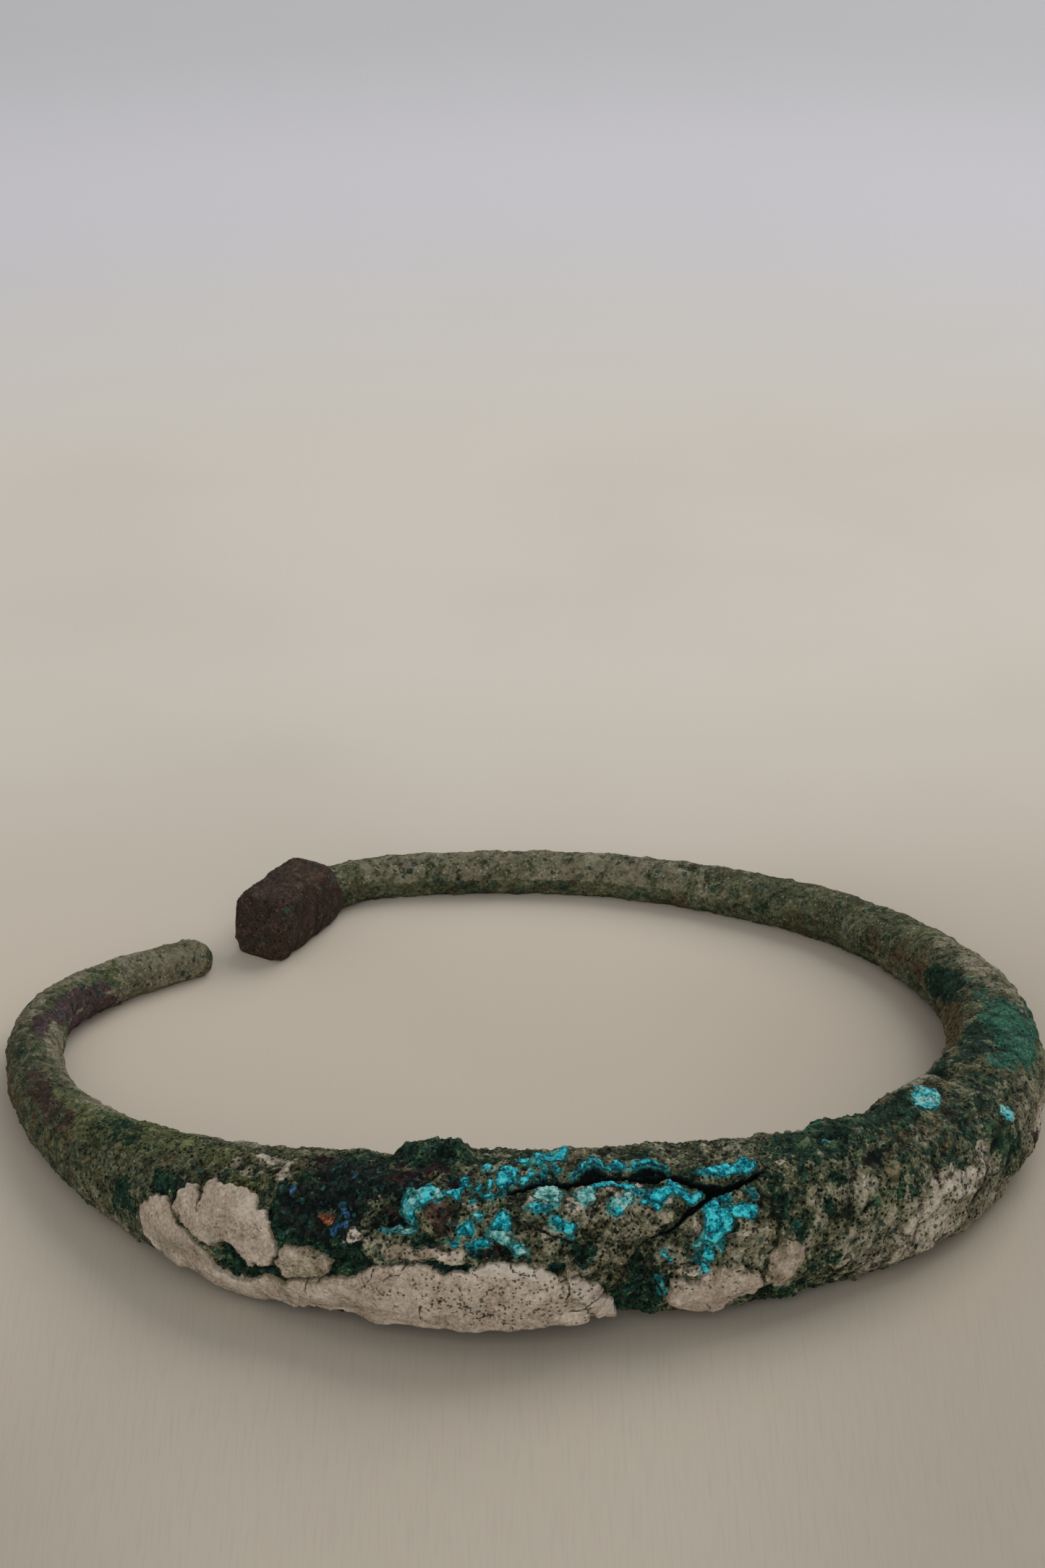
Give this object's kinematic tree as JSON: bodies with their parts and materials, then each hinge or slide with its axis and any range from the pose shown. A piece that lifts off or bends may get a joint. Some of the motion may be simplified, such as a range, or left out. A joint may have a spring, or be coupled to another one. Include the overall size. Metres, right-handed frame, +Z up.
{
  "type": "arm ring",
  "caption": "Open arm ring of corroded bronze, thick and crusted at the front, tapering round both sides to thin arms, one ending in a square terminal.",
  "frame": {"origin": "middle of the ring's outline in plan, on the surface that it lies on", "axes": "+Z up out of the surface, -Y towards the thick middle of the hoop, +X to the wearer's side that the unbroken right arm takes"},
  "size_m": [0.0792, 0.08, 0.0135],
  "materials": {
    "bronze": "corroded green and brown crust, rough",
    "lime_crust": "chalky beige lime left by the soil, matt and pitted",
    "copper_salts": "turquoise copper salts, rough and powdery"
  },
  "bodies": {
    "root": {"hoop": "bronze"}
  },
  "joints": []
}
